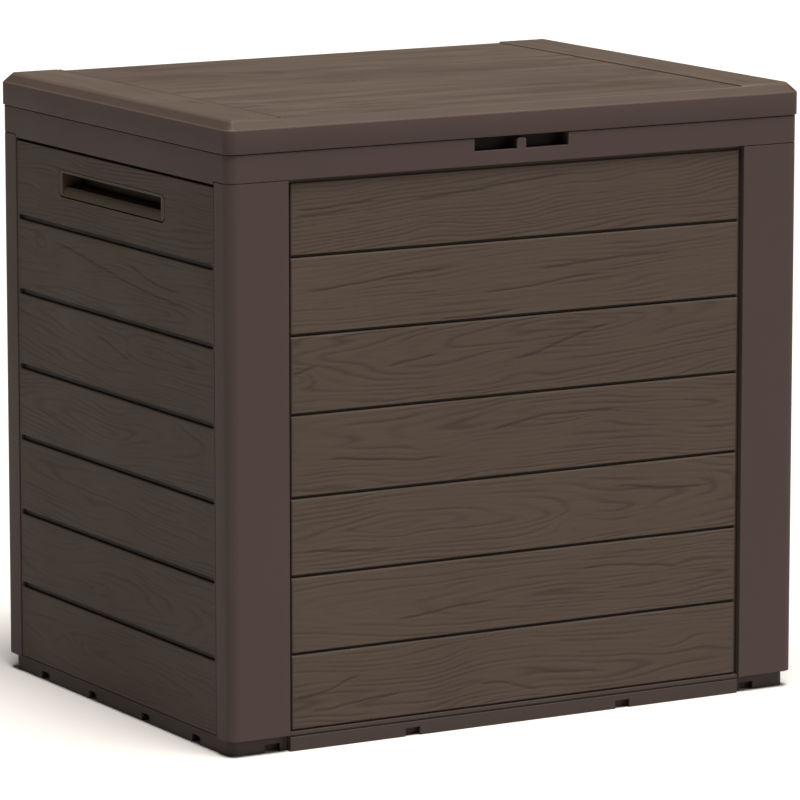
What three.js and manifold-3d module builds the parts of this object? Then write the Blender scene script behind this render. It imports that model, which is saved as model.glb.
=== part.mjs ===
// Deck storage box: a knock-down plastic chest with wood-look plank walls.
// Four corner posts stand on a ribbed base tray. Four plank panels slide into slots in the posts,
// a top frame is screwed down over them, and the lid turns on two steel pins behind the frame.
// Units are millimetres, +Z is up, the front faces -Y, and the origin is the middle of the underside.
import * as THREE from 'three';
import { mergeVertices } from 'three/addons/utils/BufferGeometryUtils.js';
import Module from 'manifold-3d';

const wasm = await Module();
wasm.setup();

// Overall size: the lid is the widest piece, and it stands 1 mm proud of the walls all round.
const LID_HALF_WIDTH = 280;
const LID_HALF_DEPTH = 209;
const TOTAL_HEIGHT = 530;
const LID_OVERHANG = 1;
const FACE_X = LID_HALF_WIDTH - LID_OVERHANG;
const FACE_Y = LID_HALF_DEPTH - LID_OVERHANG;
const CORNER_RADIUS = 10;
const WALL = 3;
const GAP = 0.3;

// Heights of the seams.
const TRAY_TOP = 13.7;
const TRAY_SKIN = 3.7;
const POST_BOTTOM = TRAY_TOP + GAP;
const POST_TOP = 478;
const SEAM = 501.5;
const LID_RIM = 502;

// Corner posts: how far each one reaches along the front or back, and along the side.
const POST_FRONT_LEG = 56.7;
const FRONT_POST_SIDE_LEG = 24.4;
const REAR_POST_SIDE_LEG = 28.3;
const FRONT_LEG_THICKNESS = 13.5;
const SIDE_LEG_THICKNESS = 11;
const SLOT_DEPTH = 10;
const POST_FRONT_SLOT = [6.5, 10.7];
const POST_SIDE_SLOT = [4.3, 7.9];
const TOWER_END = [28, 29];
const SCREW_INSET_X = 21;
const SCREW_INSET_Y = 22.5;

// Panels: each is a field of planks on a thinner backing plate whose edges slide into the posts.
// Every "inward" size is measured from the outer face of the posts.
const BACKING_BOTTOM = 14.2;
const BACKING_TOP = 483;
const FRONT_GROOVES = [81.9, 147.2, 213.4, 282.9, 349, 414.4];
const SIDE_GROOVES = [80.4, 145.7, 212, 275.2, 341.4, 406.9];
const FRONT_PANEL = {
  grooves: FRONT_GROOVES,
  grooveHeight: 2.6,
  grooveEndMargin: -1,
  fieldAlong: [-219, 219],
  fieldUp: [18, 475],
  fieldInward: [3, 7.5],
  backingAlong: [-231, 231],
  backingInward: [7, 10],
  hollowColumns: [[-214, -110], [-105, -2.5], [2.5, 105], [110, 214]],
};
const SIDE_PANEL = {
  grooves: SIDE_GROOVES,
  grooveHeight: 4,
  grooveEndMargin: 3,
  fieldAlong: [-182.6, 178.7],
  fieldUp: [15.5, 473.6],
  fieldInward: [0.6, 5],
  backingAlong: [-191.6, 187.7],
  backingInward: [4.6, 7.6],
  hollowColumns: [[-178, -108], [-103, -2.5], [2.5, 103], [108, 174]],
};
const GROOVE_DEPTH = 2.5;
const HOLLOW_DEPTH = 3.4;
const HOLLOW_MARGIN = 5;

// Grips: one moulded cup in the top plank of each side panel.
const GRIP_CENTRE = 1.2;
const GRIP_HALF_LENGTH = 96.5;
const GRIP_UP = [434.2, 456.8];
const GRIP_SLOT_HALF_LENGTH = 90.5;
const GRIP_SLOT_UP = [442.5, 454.2];
const GRIP_DEPTH = 25;
const GRIP_SCOOP_DEPTH = 4.5;
const GRIP_FLANGE = 4.5;
const GRIP_CORNER = 5;

// Top frame: an upside-down channel that caps the posts and panels.
const FRAME_BOTTOM = POST_TOP + GAP;
const FRAME_SIDE_LIP_BOTTOM = 475.6;
const FRAME_INNER_BOTTOM = 470;
const FRAME_INNER_X = 264;
const FRAME_INNER_Y = 190.5;
const LATCH_HALF_WIDTH = 45.8;
const LATCH_FLOOR = 490.6;
const LATCH_DEPTH = 13.5;
const LATCH_TAB_HALF_WIDTH = 4.4;
const LATCH_TAB_TOP = 499.8;

// Lid: a shallow cap with a chamfered top edge and a centre field lower than its two end bands.
const LID_CHAMFER_IN = 9.5;
const LID_CHAMFER_BOTTOM = 521.6;
const LID_FIELD_HALF_WIDTH = 224;
const LID_FIELD_STEP = 1.4;
const LID_CEILING = 525.5;
const LID_LIP_X = 262;
const LID_LIP_Y = 188.5;
const LID_LIP_BOTTOM = 501.6;
const LID_LIP_THICKNESS = 2.5;
const LID_RIB_HEIGHT = 3.5;
const RIB = 2.5;

// Hinges: two sets of knuckles behind the seam, each on its own pin.
const HINGE_Y = 215.5;
const HINGE_Z = SEAM;
const HINGE_X = 170;
const KNUCKLE_RADIUS = 5.6;
const LID_KNUCKLE_HALF_WIDTH = 6;
const EAR_INNER = 6.5;
const EAR_OUTER = 14.5;
const PIN_RADIUS = 2;
const PIN_BORE_RADIUS = 2.15;
const HINGE_SIDES = 18;
const OPEN_ANGLE = THREE.MathUtils.degToRad(100);

// Base tray.
const TRAY_HALF_WIDTH = 275;
const TRAY_HALF_DEPTH = 200;
const TRAY_STRIP_FACE = 1.5;
const TRAY_STRIP_HALF_WIDTH = 221.5;
const TRAY_LIP_TOP = 16.7;
const TRAY_UPSTAND_TOP = 15.5;
const TRAY_RIB_PITCH_X = 55;
const TRAY_RIB_PITCH_Y = 50;
const TRAY_PAD_HALF = 20;
const NOTCH_HALF_WIDTH = 7;
const NOTCH_HEIGHT = 7;
const NOTCH_BACK = [2.5, 4.5];
const FRONT_NOTCHES = [-235, -104, 104, 235];
const SIDE_NOTCHES = [-140, -49, 49, 140];

// Self-tapping screws.
const SCREW_SHANK_RADIUS = 1.7;
const SCREW_LENGTH = 30;
const SCREW_HEAD_RADIUS = 4;
const SCREW_HEAD_HEIGHT = 2.4;
const SCREW_CLEARANCE_RADIUS = 2.2;
const POST_PILOT_RADIUS = 2;
const BOSS_RADIUS = 6.5;
const BASE_SCREW_SEAT = 3.3;
const FRAME_SHELF = 4;

const CORNERS = {
  front_left: { sideX: -1, sideY: -1, sideLeg: FRONT_POST_SIDE_LEG },
  front_right: { sideX: 1, sideY: -1, sideLeg: FRONT_POST_SIDE_LEG },
  rear_left: { sideX: -1, sideY: 1, sideLeg: REAR_POST_SIDE_LEG },
  rear_right: { sideX: 1, sideY: 1, sideLeg: REAR_POST_SIDE_LEG },
};

// ---- Making and joining solids ----

function solid(geometry) {
  const bare = new THREE.BufferGeometry();
  bare.setAttribute('position', geometry.getAttribute('position'));
  bare.setIndex(geometry.getIndex());
  const welded = mergeVertices(bare, 1e-4);
  return new wasm.Manifold(new wasm.Mesh({
    numProp: 3,
    vertProperties: new Float32Array(welded.getAttribute('position').array),
    triVerts: new Uint32Array(welded.getIndex().array),
  }));
}

function join(...pieces) {
  return pieces.flat().reduce((whole, piece) => whole.add(piece));
}

function cut(whole, ...tools) {
  return tools.flat().reduce((rest, tool) => rest.subtract(tool), whole);
}

function geometryOf(body) {
  const mesh = body.getMesh();
  const geometry = new THREE.BufferGeometry();
  geometry.setAttribute('position', new THREE.BufferAttribute(new Float32Array(mesh.vertProperties), 3));
  geometry.setIndex(new THREE.BufferAttribute(new Uint32Array(mesh.triVerts), 1));
  geometry.computeVertexNormals();
  return geometry;
}

// ---- Basic shapes ----

function box([x0, x1], [y0, y1], [z0, z1]) {
  const geometry = new THREE.BoxGeometry(x1 - x0, y1 - y0, z1 - z0);
  geometry.translate((x0 + x1) / 2, (y0 + y1) / 2, (z0 + z1) / 2);
  return solid(geometry);
}

function ordered(a, b) {
  return [Math.min(a, b), Math.max(a, b)];
}

// A box on one wall: its stretch along the wall, inward from the post faces, and up.
function wallBox(wall, along, inward, up) {
  const sign = wall === 'front' || wall === 'left' ? -1 : 1;
  if (wall === 'front' || wall === 'back') {
    return box(along, ordered(sign * (FACE_Y - inward[0]), sign * (FACE_Y - inward[1])), up);
  }
  return box(ordered(sign * (FACE_X - inward[0]), sign * (FACE_X - inward[1])), along, up);
}

function roundedRectangle(halfX, halfY, radius) {
  const shape = new THREE.Shape();
  shape.moveTo(halfX, -halfY + radius);
  shape.absarc(halfX - radius, halfY - radius, radius, 0, Math.PI / 2);
  shape.absarc(-halfX + radius, halfY - radius, radius, Math.PI / 2, Math.PI);
  shape.absarc(-halfX + radius, -halfY + radius, radius, Math.PI, Math.PI * 1.5);
  shape.absarc(halfX - radius, -halfY + radius, radius, Math.PI * 1.5, Math.PI * 2);
  return shape;
}

function extrude(shape, depth, curveSegments) {
  return new THREE.ExtrudeGeometry(shape, { depth, curveSegments, bevelEnabled: false });
}

function extrudeUp(shape, [z0, z1], curveSegments = 6) {
  const geometry = extrude(shape, z1 - z0, curveSegments);
  geometry.translate(0, 0, z0);
  return solid(geometry);
}

// The shape is drawn in Y and Z, and pulled along X.
function extrudeAlongX(shape, [x0, x1], curveSegments = 6) {
  const geometry = extrude(shape, x1 - x0, curveSegments);
  const turn = new THREE.Matrix4().makeBasis(
    new THREE.Vector3(0, 1, 0), new THREE.Vector3(0, 0, 1), new THREE.Vector3(1, 0, 0));
  geometry.applyMatrix4(turn);
  geometry.translate(x0, 0, 0);
  return solid(geometry);
}

// The shape is drawn in X and Z, and pulled along Y.
function extrudeAlongY(shape, [y0, y1], curveSegments = 6) {
  const geometry = extrude(shape, y1 - y0, curveSegments);
  const turn = new THREE.Matrix4().makeBasis(
    new THREE.Vector3(1, 0, 0), new THREE.Vector3(0, 0, 1), new THREE.Vector3(0, -1, 0));
  geometry.applyMatrix4(turn);
  geometry.translate(0, y1, 0);
  return solid(geometry);
}

function polygon(points) {
  return new THREE.Shape(points.map(([a, b]) => new THREE.Vector2(a, b)));
}

function slab(halfX, halfY, radius, up) {
  return extrudeUp(roundedRectangle(halfX, halfY, radius), up);
}

function ring(halfX, halfY, radius, thickness, up) {
  const inside = slab(halfX - thickness, halfY - thickness, radius - thickness / 2, [up[0] - 1, up[1] + 1]);
  return cut(slab(halfX, halfY, radius, up), inside);
}

function uprightRod(x, y, radius, [z0, z1]) {
  const geometry = new THREE.CylinderGeometry(radius, radius, z1 - z0, 12);
  geometry.rotateX(Math.PI / 2);
  geometry.translate(x, y, (z0 + z1) / 2);
  return solid(geometry);
}

function hingeRod(radius, [x0, x1]) {
  const geometry = new THREE.CylinderGeometry(radius, radius, x1 - x0, HINGE_SIDES);
  geometry.rotateZ(Math.PI / 2);
  geometry.translate((x0 + x1) / 2, HINGE_Y, HINGE_Z);
  return solid(geometry);
}

function screwAxis(corner) {
  return {
    x: corner.sideX * (FACE_X - SCREW_INSET_X),
    y: corner.sideY * (FACE_Y - SCREW_INSET_Y),
  };
}

// ---- Base tray ----

function trayRibs() {
  const up = [0, TRAY_TOP - 1];
  const reachX = TRAY_HALF_WIDTH - 1;
  const reachY = TRAY_HALF_DEPTH - 1;
  const ribs = [];
  for (let x = -4 * TRAY_RIB_PITCH_X; x <= 4 * TRAY_RIB_PITCH_X; x += TRAY_RIB_PITCH_X) {
    ribs.push(box([x - RIB / 2, x + RIB / 2], [-reachY, reachY], up));
  }
  for (let y = -3 * TRAY_RIB_PITCH_Y; y <= 3 * TRAY_RIB_PITCH_Y; y += TRAY_RIB_PITCH_Y) {
    ribs.push(box([-reachX, reachX], [y - RIB / 2, y + RIB / 2], up));
  }
  return ribs;
}

// The front and back of the tray stand forward between the posts, with a lip that hides the panel's foot.
function trayStrip(wall) {
  const along = [-TRAY_STRIP_HALF_WIDTH, TRAY_STRIP_HALF_WIDTH];
  const innerAlong = [along[0] + WALL, along[1] - WALL];
  const face = TRAY_STRIP_FACE;
  const shell = wallBox(wall, along, [face, 16], [0, TRAY_TOP]);
  const lip = wallBox(wall, along, [face, face + WALL], [TRAY_TOP - 1, TRAY_LIP_TOP]);
  const hollow = wallBox(wall, innerAlong, [face + WALL, 11], [-1, TRAY_TOP - TRAY_SKIN]);
  return { solids: join(shell, lip), hollow };
}

function trayUpstands() {
  const up = [TRAY_TOP - 1, TRAY_UPSTAND_TOP];
  const sideAlong = [SIDE_PANEL.fieldAlong[0] + 2, SIDE_PANEL.fieldAlong[1] - 2];
  const frontAlong = [-TRAY_STRIP_HALF_WIDTH, TRAY_STRIP_HALF_WIDTH];
  return [
    wallBox('front', frontAlong, [10.5, 13], up),
    wallBox('back', frontAlong, [10.5, 13], up),
    wallBox('left', sideAlong, [8.1, 10.6], up),
    wallBox('right', sideAlong, [8.1, 10.6], up),
  ];
}

// Each notch in the rim, with how far inward it cuts.
const NOTCHES = [
  ...FRONT_NOTCHES.flatMap((x) => ['front', 'back'].map(
    (wall) => ({ wall, centre: x, reach: Math.abs(x) > TRAY_STRIP_HALF_WIDTH ? 11.5 : 5 }))),
  ...SIDE_NOTCHES.flatMap((y) => ['left', 'right'].map((wall) => ({ wall, centre: y, reach: 7.5 }))),
];

function trayNotches() {
  return NOTCHES.map(({ wall, centre, reach }) => {
    const along = [centre - NOTCH_HALF_WIDTH, centre + NOTCH_HALF_WIDTH];
    return wallBox(wall, along, [0, reach], [-1, NOTCH_HEIGHT]);
  });
}

// A small plate closes the view through each notch, a little way behind it.
function trayNotchBacks() {
  return NOTCHES.map(({ wall, centre, reach }) => {
    const along = [centre - NOTCH_HALF_WIDTH - 3, centre + NOTCH_HALF_WIDTH + 3];
    return wallBox(wall, along, [reach + NOTCH_BACK[0], reach + NOTCH_BACK[1]], [0.5, TRAY_TOP - 1]);
  });
}

function baseTray() {
  const plate = slab(TRAY_HALF_WIDTH, TRAY_HALF_DEPTH, 8, [0, TRAY_TOP]);
  const strips = ['front', 'back'].map(trayStrip);
  const hollow = slab(TRAY_HALF_WIDTH - WALL, TRAY_HALF_DEPTH - WALL, 5, [-1, TRAY_TOP - TRAY_SKIN]);
  const shell = cut(
    join(plate, strips.map((strip) => strip.solids)),
    hollow,
    strips.map((strip) => strip.hollow));
  const pad = box([-TRAY_PAD_HALF, TRAY_PAD_HALF], [-TRAY_PAD_HALF, TRAY_PAD_HALF], [0, TRAY_TOP - 1]);
  const axes = Object.values(CORNERS).map(screwAxis);
  const bosses = axes.map(({ x, y }) => uprightRod(x, y, BOSS_RADIUS, [BASE_SCREW_SEAT, TRAY_TOP - 1]));
  const seats = axes.map(({ x, y }) => uprightRod(x, y, SCREW_HEAD_RADIUS + 1, [-1, BASE_SCREW_SEAT]));
  const holes = axes.map(({ x, y }) => uprightRod(x, y, SCREW_CLEARANCE_RADIUS, [-1, TRAY_TOP + 1]));
  const body = join(shell, trayRibs(), pad, trayUpstands(), trayNotchBacks(), bosses);
  return cut(body, seats, holes, trayNotches());
}

// ---- Corner posts ----

// The section is drawn with u inward from the side face and v inward from the front or back face:
// a hollow L, slotted at both ends for the panels, with a solid tower for the screws in its inner corner.
function post({ sideX, sideY, sideLeg }) {
  const at = (u, v) => new THREE.Vector2(sideX * (FACE_X - u), sideY * (FACE_Y - v));
  const arc = (u, v, radius, start, sweep, steps) => Array.from({ length: steps }, (unused, step) => {
    const angle = start + (step / (steps - 1)) * sweep;
    return at(u + radius * Math.cos(angle), v + radius * Math.sin(angle));
  });
  const cornerArc = (radius) => arc(CORNER_RADIUS, CORNER_RADIUS, radius, Math.PI, Math.PI / 2, 7);
  const legEnd = POST_FRONT_LEG;
  const [slotFront, slotBack] = POST_FRONT_SLOT;
  const [slotOuter, slotInner] = POST_SIDE_SLOT;
  const outline = new THREE.Shape([
    ...cornerArc(CORNER_RADIUS),
    at(legEnd, 0),
    at(legEnd, slotFront),
    at(legEnd - SLOT_DEPTH, slotFront),
    at(legEnd - SLOT_DEPTH, slotBack),
    at(legEnd, slotBack),
    at(legEnd, FRONT_LEG_THICKNESS),
    at(TOWER_END[0], FRONT_LEG_THICKNESS),
    at(...TOWER_END),
    at(SIDE_LEG_THICKNESS, TOWER_END[1]),
    at(SIDE_LEG_THICKNESS, sideLeg),
    at(slotInner, sideLeg),
    at(slotInner, sideLeg - SLOT_DEPTH),
    at(slotOuter, sideLeg - SLOT_DEPTH),
    at(slotOuter, sideLeg),
    at(0, sideLeg),
  ]);
  const back = FRONT_LEG_THICKNESS - WALL;
  const inner = SIDE_LEG_THICKNESS - WALL;
  const sideEnd = sideLeg - SLOT_DEPTH - 2;
  const legHollowEnd = legEnd - SLOT_DEPTH - WALL;
  const hollow = new THREE.Shape([
    ...cornerArc(CORNER_RADIUS - WALL),
    at(legHollowEnd, WALL), at(legHollowEnd, back), at(inner, back), at(inner, sideEnd), at(WALL, sideEnd),
  ]);
  const pilot = new THREE.Shape(
    arc(SCREW_INSET_X, SCREW_INSET_Y, POST_PILOT_RADIUS, 0, Math.PI * 2 * (11 / 12), 12));
  const through = [POST_BOTTOM - 1, POST_TOP + 1];
  const hollows = [hollow, pilot].map((shape) => extrudeUp(shape, through));
  return cut(extrudeUp(outline, [POST_BOTTOM, POST_TOP]), hollows);
}

// ---- Plank panels ----

function plankHollows(wall, panel) {
  const edges = [panel.fieldUp[0], ...panel.grooves, panel.fieldUp[1]];
  const inner = panel.backingInward[1];
  const hollows = [];
  for (let plank = 0; plank < edges.length - 1; plank += 1) {
    const up = [edges[plank] + HOLLOW_MARGIN, edges[plank + 1] - HOLLOW_MARGIN];
    const holdsGrip = panel === SIDE_PANEL && plank === edges.length - 2;
    const columns = holdsGrip ? [panel.hollowColumns[0], panel.hollowColumns[3]] : panel.hollowColumns;
    for (const along of columns) {
      hollows.push(wallBox(wall, along, [inner - HOLLOW_DEPTH, inner + 1], up));
    }
  }
  return hollows;
}

function plankPanel(wall, panel) {
  const field = wallBox(wall, panel.fieldAlong, panel.fieldInward, panel.fieldUp);
  const backing = wallBox(wall, panel.backingAlong, panel.backingInward, [BACKING_BOTTOM, BACKING_TOP]);
  const margin = panel.grooveEndMargin;
  const grooveAlong = [panel.fieldAlong[0] + margin, panel.fieldAlong[1] - margin];
  const grooves = panel.grooves.map((z) => wallBox(
    wall, grooveAlong, [panel.fieldInward[0] - 1, panel.fieldInward[0] + GROOVE_DEPTH],
    [z - panel.grooveHeight / 2, z + panel.grooveHeight / 2]));
  return cut(join(field, backing), grooves, plankHollows(wall, panel));
}

// ---- Grips ----

// A rounded block that passes through the side panel, seen from the side.
function gripBlock(side, grow, [inner, outer]) {
  const halfUp = (GRIP_UP[1] - GRIP_UP[0]) / 2 + grow;
  const shape = roundedRectangle(GRIP_HALF_LENGTH + grow, halfUp, GRIP_CORNER);
  const span = ordered(side * (FACE_X - inner), side * (FACE_X - outer));
  const block = extrudeAlongX(shape, span);
  return block.translate([0, GRIP_CENTRE, (GRIP_UP[0] + GRIP_UP[1]) / 2]);
}

function sidePanel(wall) {
  const side = wall === 'left' ? -1 : 1;
  return cut(plankPanel(wall, SIDE_PANEL), gripBlock(side, GAP, [-1, GRIP_DEPTH]));
}

// The scoop slopes in and up to the finger slot, drawn in X and Z.
function gripScoop(side) {
  const at = (inward, z) => [side * (FACE_X - inward), z];
  const scoop = polygon([
    at(-1, GRIP_UP[0] + 0.5),
    at(1.2, GRIP_UP[0] + 0.5),
    at(GRIP_SCOOP_DEPTH, GRIP_SLOT_UP[0]),
    at(GRIP_DEPTH - RIB, GRIP_SLOT_UP[0]),
    at(GRIP_DEPTH - RIB, GRIP_SLOT_UP[1]),
    at(-1, GRIP_SLOT_UP[1]),
  ]);
  return extrudeAlongY(scoop, [GRIP_CENTRE - GRIP_SLOT_HALF_LENGTH, GRIP_CENTRE + GRIP_SLOT_HALF_LENGTH]);
}

function grip(side) {
  const cup = gripBlock(side, 0, [0.8, GRIP_DEPTH]);
  const flange = gripBlock(side, GRIP_FLANGE, [8, 10]);
  return cut(join(cup, flange), gripScoop(side));
}

// ---- Top frame ----

function frameEar(side, [from, to]) {
  const along = ordered(side * (HINGE_X + from), side * (HINGE_X + to));
  const arm = box(along, [FACE_Y - 1, HINGE_Y], [HINGE_Z - KNUCKLE_RADIUS + 0.1, HINGE_Z - GAP]);
  return join(arm, hingeRod(KNUCKLE_RADIUS, along));
}

function frameEars() {
  return [-1, 1].flatMap((side) => [
    frameEar(side, [EAR_INNER, EAR_OUTER]),
    frameEar(side, [-EAR_OUTER, -EAR_INNER]),
  ]);
}

// A box at one corner, from its reach inward from the side face and from the front or back face.
function cornerBox({ sideX, sideY }, inwardX, inwardY, up) {
  const spanX = ordered(sideX * (FACE_X - inwardX[0]), sideX * (FACE_X - inwardX[1]));
  const spanY = ordered(sideY * (FACE_Y - inwardY[0]), sideY * (FACE_Y - inwardY[1]));
  return box(spanX, spanY, up);
}

function latchTab() {
  const top = LATCH_TAB_TOP;
  const half = LATCH_TAB_HALF_WIDTH;
  const round = 2.5;
  const shape = new THREE.Shape();
  shape.moveTo(-half, LATCH_FLOOR - 2);
  shape.lineTo(half, LATCH_FLOOR - 2);
  shape.absarc(half - round, top - round, round, 0, Math.PI / 2);
  shape.absarc(-half + round, top - round, round, Math.PI / 2, Math.PI);
  return extrudeAlongY(shape, [-FACE_Y, -FACE_Y + 8]);
}

function topFrame() {
  const outerWall = ring(FACE_X, FACE_Y, CORNER_RADIUS, WALL, [FRAME_BOTTOM, SEAM]);
  const webInside = slab(FRAME_INNER_X, FRAME_INNER_Y, 4, [SEAM - 2 * WALL, SEAM + 1]);
  const web = cut(slab(FACE_X, FACE_Y, CORNER_RADIUS, [SEAM - WALL, SEAM]), webInside);
  const innerWall = ring(FRAME_INNER_X + WALL, FRAME_INNER_Y + WALL, 5.5, WALL, [FRAME_INNER_BOTTOM, SEAM]);
  const sideLips = ['left', 'right'].map((wall) => wallBox(
    wall, SIDE_PANEL.fieldAlong, [0, WALL], [FRAME_SIDE_LIP_BOTTOM, FRAME_BOTTOM + 1]));
  const latchHalf = LATCH_HALF_WIDTH;
  const pan = wallBox('front', [-latchHalf - WALL, latchHalf + WALL], [1, 16.5], [LATCH_FLOOR - WALL, SEAM]);
  const notch = wallBox('front', [-latchHalf, latchHalf], [-1, LATCH_DEPTH], [LATCH_FLOOR, SEAM + 1]);
  const corners = Object.values(CORNERS);
  const shelfTop = FRAME_BOTTOM + FRAME_SHELF;
  const shelves = corners.flatMap((corner) => [
    cornerBox(corner, [9, TOWER_END[0]], [2, TOWER_END[1]], [FRAME_BOTTOM, shelfTop]),
    cornerBox(corner, [2, 10], [7, 15], [FRAME_BOTTOM, shelfTop]),
  ]);
  const towerRoom = corners.map((corner) => cornerBox(
    corner, [WALL, TOWER_END[0] + 1], [WALL, TOWER_END[1] + 1], [FRAME_INNER_BOTTOM - 1, FRAME_BOTTOM]));
  const holes = corners.map(screwAxis).map(
    ({ x, y }) => uprightRod(x, y, SCREW_CLEARANCE_RADIUS, [FRAME_BOTTOM - 1, shelfTop + 1]));
  const bores = [-1, 1].map((side) => hingeRod(
    PIN_BORE_RADIUS, ordered(side * (HINGE_X - EAR_OUTER - 1), side * (HINGE_X + EAR_OUTER + 1))));
  const channel = join(outerWall, web, innerWall, sideLips, pan, shelves, frameEars());
  return join(cut(channel, notch, towerRoom, holes, bores), latchTab());
}

// ---- Lid ----

// Outline points of a rounded rectangle, evenly matched from one height to the next.
function outlineRing(halfX, halfY, radius, z) {
  return roundedRectangle(halfX, halfY, radius).getPoints(6).slice(0, -1)
    .map((point) => new THREE.Vector3(point.x, point.y, z));
}

// A closed solid through a stack of outlines that all have the same number of points.
function stack(rings) {
  const count = rings[0].length;
  const positions = rings.flat().flatMap((point) => [point.x, point.y, point.z]);
  const faces = [];
  for (let level = 0; level < rings.length - 1; level += 1) {
    for (let step = 0; step < count; step += 1) {
      const next = (step + 1) % count;
      const low = level * count;
      const high = low + count;
      faces.push(low + step, low + next, high + next, low + step, high + next, high + step);
    }
  }
  const top = (rings.length - 1) * count;
  for (let step = 1; step < count - 1; step += 1) {
    faces.push(0, step + 1, step);
    faces.push(top, top + step, top + step + 1);
  }
  const geometry = new THREE.BufferGeometry();
  geometry.setAttribute('position', new THREE.Float32BufferAttribute(positions, 3));
  geometry.setIndex(faces);
  return solid(geometry);
}

function lidOutside() {
  const inset = LID_CHAMFER_IN;
  return stack([
    outlineRing(LID_HALF_WIDTH, LID_HALF_DEPTH, CORNER_RADIUS, LID_RIM),
    outlineRing(LID_HALF_WIDTH, LID_HALF_DEPTH, CORNER_RADIUS, LID_CHAMFER_BOTTOM),
    outlineRing(LID_HALF_WIDTH - inset, LID_HALF_DEPTH - inset, CORNER_RADIUS - inset, TOTAL_HEIGHT),
  ]);
}

function lidInside() {
  const halfX = LID_HALF_WIDTH - WALL;
  const halfY = LID_HALF_DEPTH - WALL;
  const inset = 6;
  return stack([
    outlineRing(halfX, halfY, CORNER_RADIUS - WALL, LID_RIM - 10),
    outlineRing(halfX, halfY, CORNER_RADIUS - WALL, LID_CEILING - inset),
    outlineRing(halfX - inset, halfY - inset, CORNER_RADIUS - WALL - inset, LID_CEILING),
  ]);
}

function lidRibs() {
  const up = [LID_CEILING - LID_RIB_HEIGHT, LID_CEILING + 1];
  const alongY = [-165, -55, 55, 165].map((x) => box([x - RIB / 2, x + RIB / 2], [-198, 198], up));
  const alongX = [-105, 0, 105].map((y) => box([-268, 268], [y - RIB / 2, y + RIB / 2], up));
  return [...alongY, ...alongX];
}

// The heel meets the frame's back face when the lid is fully open, so it is drawn in that pose
// round the hinge axis and turned back to the closed one.
function stopHeel(along) {
  const openPose = [[-7.3, -0.8], [-7.3, -4.2], [-3, -5], [-1, 0]];
  const turned = openPose.map(([y, z]) => [
    HINGE_Y + y * Math.cos(OPEN_ANGLE) - z * Math.sin(OPEN_ANGLE),
    HINGE_Z + y * Math.sin(OPEN_ANGLE) + z * Math.cos(OPEN_ANGLE),
  ]);
  return extrudeAlongX(polygon(turned), along);
}

function lidKnuckle(side) {
  const along = [side * HINGE_X - LID_KNUCKLE_HALF_WIDTH, side * HINGE_X + LID_KNUCKLE_HALF_WIDTH];
  const bore = hingeRod(PIN_BORE_RADIUS, [along[0] - 1, along[1] + 1]);
  const arm = box(along, [LID_HALF_DEPTH - 1, HINGE_Y], [LID_RIM, HINGE_Z + KNUCKLE_RADIUS - 0.1]);
  return cut(join(arm, hingeRod(KNUCKLE_RADIUS, along), stopHeel(along)), bore);
}

function lidShell() {
  const lip = ring(LID_LIP_X, LID_LIP_Y, 5, LID_LIP_THICKNESS, [LID_LIP_BOTTOM, LID_CEILING + 1]);
  const field = box(
    [-LID_FIELD_HALF_WIDTH, LID_FIELD_HALF_WIDTH], [-LID_HALF_DEPTH, LID_HALF_DEPTH],
    [TOTAL_HEIGHT - LID_FIELD_STEP, TOTAL_HEIGHT + 1]);
  return join(cut(lidOutside(), lidInside(), field), lip, lidRibs(), lidKnuckle(-1), lidKnuckle(1));
}

// ---- Pins and screws ----

function turned(profile, segments) {
  const points = profile.map(([radius, height]) => new THREE.Vector2(radius, height));
  return new THREE.LatheGeometry(points, segments);
}

function hingePin(side) {
  const half = EAR_OUTER + GAP;
  const geometry = turned([
    [0, -half], [PIN_RADIUS - 0.4, -half], [PIN_RADIUS, -half + 0.4], [PIN_RADIUS, half],
    [3.2, half], [3.2, half + 1], [2.6, half + 1.4], [0, half + 1.4],
  ], HINGE_SIDES);
  geometry.rotateZ(-side * Math.PI / 2);
  geometry.translate(side * HINGE_X, HINGE_Y, HINGE_Z);
  return solid(geometry);
}

// A screw pointing down from under its head, which is at height zero.
function screwGeometry() {
  const shank = SCREW_SHANK_RADIUS;
  const head = SCREW_HEAD_RADIUS;
  return turned([
    [0, -SCREW_LENGTH], [shank, -SCREW_LENGTH + 4], [shank, 0], [head, 0],
    [head, SCREW_HEAD_HEIGHT * 0.5], [head * 0.6, SCREW_HEAD_HEIGHT], [0, SCREW_HEAD_HEIGHT],
  ], 12);
}

function baseScrew(corner) {
  const { x, y } = screwAxis(corner);
  const geometry = screwGeometry();
  geometry.rotateX(-Math.PI / 2);
  geometry.translate(x, y, BASE_SCREW_SEAT - GAP);
  return solid(geometry);
}

function frameScrew(corner) {
  const { x, y } = screwAxis(corner);
  const geometry = screwGeometry();
  geometry.rotateX(Math.PI / 2);
  geometry.translate(x, y, FRAME_BOTTOM + FRAME_SHELF + GAP);
  return solid(geometry);
}

// ---- Materials and assembly ----

function plastic(color, roughness) {
  return () => new THREE.MeshStandardMaterial({ color, roughness, metalness: 0 });
}

function steel() {
  return new THREE.MeshStandardMaterial({ color: 0x9a9a98, roughness: 0.35, metalness: 1 });
}

const smoothPlastic = plastic(0x50423f, 0.55);
const frontPlankPlastic = plastic(0x544840, 0.6);
const sidePlankPlastic = plastic(0x4c413a, 0.6);
const lidPlastic = plastic(0x5a4d45, 0.6);
const trayPlastic = plastic(0x463a36, 0.65);

const storageBox = new THREE.Group();

function place(name, body, material) {
  const mesh = new THREE.Mesh(geometryOf(body), material());
  mesh.name = name;
  storageBox.add(mesh);
}

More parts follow.
